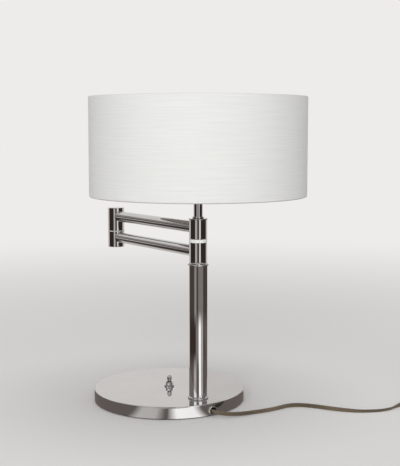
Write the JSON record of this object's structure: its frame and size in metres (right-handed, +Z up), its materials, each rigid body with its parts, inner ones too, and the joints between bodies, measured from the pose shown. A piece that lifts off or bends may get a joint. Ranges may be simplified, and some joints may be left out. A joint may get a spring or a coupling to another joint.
{
  "type": "swing arm desk lamp",
  "caption": "Desk lamp with a round weighted base, a column, a folding two-part swing arm, a white drum shade, a toggle switch in the base and a cloth covered lead.",
  "frame": {"origin": "centre of the foot pad's underside, on the table", "axes": "+Z up, column and lead at the rear (+Y), folded arms reach forward (-Y), +X to the right seen from the front"},
  "size_m": [0.5912, 0.6251, 0.5136],
  "materials": {
    "felt": "dense wool felt",
    "plate": "black painted sheet steel",
    "satin_chrome": "satin polished chrome plate",
    "cast_iron": "rough casting, lightly machined",
    "chrome": "polished chrome plate",
    "zinc": "zinc plated steel",
    "nylon": "white nylon",
    "phenolic": "black phenolic moulding",
    "brass": "plain brass",
    "porcelain": "glazed porcelain",
    "lamp_white": "opal white",
    "shade_cloth": "white woven cloth",
    "shade_film": "white stiff film",
    "frame_white": "white powder coat",
    "lead_cloth": "twisted brown cloth covered lead",
    "plug_brown": "dark brown moulding"
  },
  "bodies": {
    "base": {"base_pad": "felt", "base_plate": "plate", "base_cover": "satin_chrome", "base_weight": "cast_iron", "cord_bushing": "chrome", "bushing_nut": "zinc", "switch_body": "phenolic", "switch_bush": "chrome", "switch_nut": "chrome", "column_foot_ring": "chrome", "column_foot_plug": "zinc", "column_tube": "chrome", "tie_rod": "zinc", "tie_washer": "zinc", "tie_nut": "zinc", "column_head": "chrome", "column_post": "zinc", "column_spring_washer": "zinc", "column_lock_nut": "brass", "cord_lead": "lead_cloth", "cord_coil": "lead_cloth", "cord_tie": "plug_brown", "plug_relief": "plug_brown", "plug_body": "plug_brown", "plug_pins": "brass"},
    "toggle": {"switch_lever": "chrome"},
    "lower_arm": {"thrust_washer": "nylon", "lower_hub": "chrome", "lower_hub_cap": "chrome", "rest_washer": "nylon", "rest_rivet": "chrome", "lower_arm_tube": "chrome", "elbow_lower": "chrome", "elbow_bottom_cap": "chrome", "elbow_post": "zinc", "elbow_washer": "nylon", "elbow_spring_washer": "zinc", "elbow_lock_nut": "brass"},
    "upper_arm": {"elbow_upper": "chrome", "elbow_top_cap": "chrome", "upper_arm_tube": "chrome", "upper_hub": "chrome", "upper_hub_cap": "chrome", "stem_nut": "brass", "stem_collar": "chrome", "stem_tube": "chrome", "stem_rod": "zinc", "holder_cap": "chrome", "holder_skirt": "chrome", "holder_core": "porcelain", "holder_contacts": "brass", "shade_rings": "lamp_white", "lamp_cap": "zinc", "lamp_collar": "lamp_white", "lamp_globe": "lamp_white", "shade_frame": "frame_white", "shade_top_wire": "frame_white", "shade_liner": "shade_film", "shade_fabric": "shade_cloth"}
  },
  "joints": [
    {"name": "column_swivel", "type": "hinge", "parent": "base", "child": "lower_arm", "pos_m": [0, 0.0873, 0.2468], "axis": [0, 0, 1], "range_deg": [-170, 170]},
    {"name": "elbow_swivel", "type": "hinge", "parent": "lower_arm", "child": "upper_arm", "pos_m": [0, -0.1772, 0.2766], "axis": [0, 0, 1], "range_deg": [-170, 170]},
    {"name": "switch_toggle", "type": "hinge", "parent": "base", "child": "toggle", "pos_m": [0, 0, 0.02075], "axis": [-0.766, 0.6428, 0], "range_deg": [0, 24]}
  ]
}
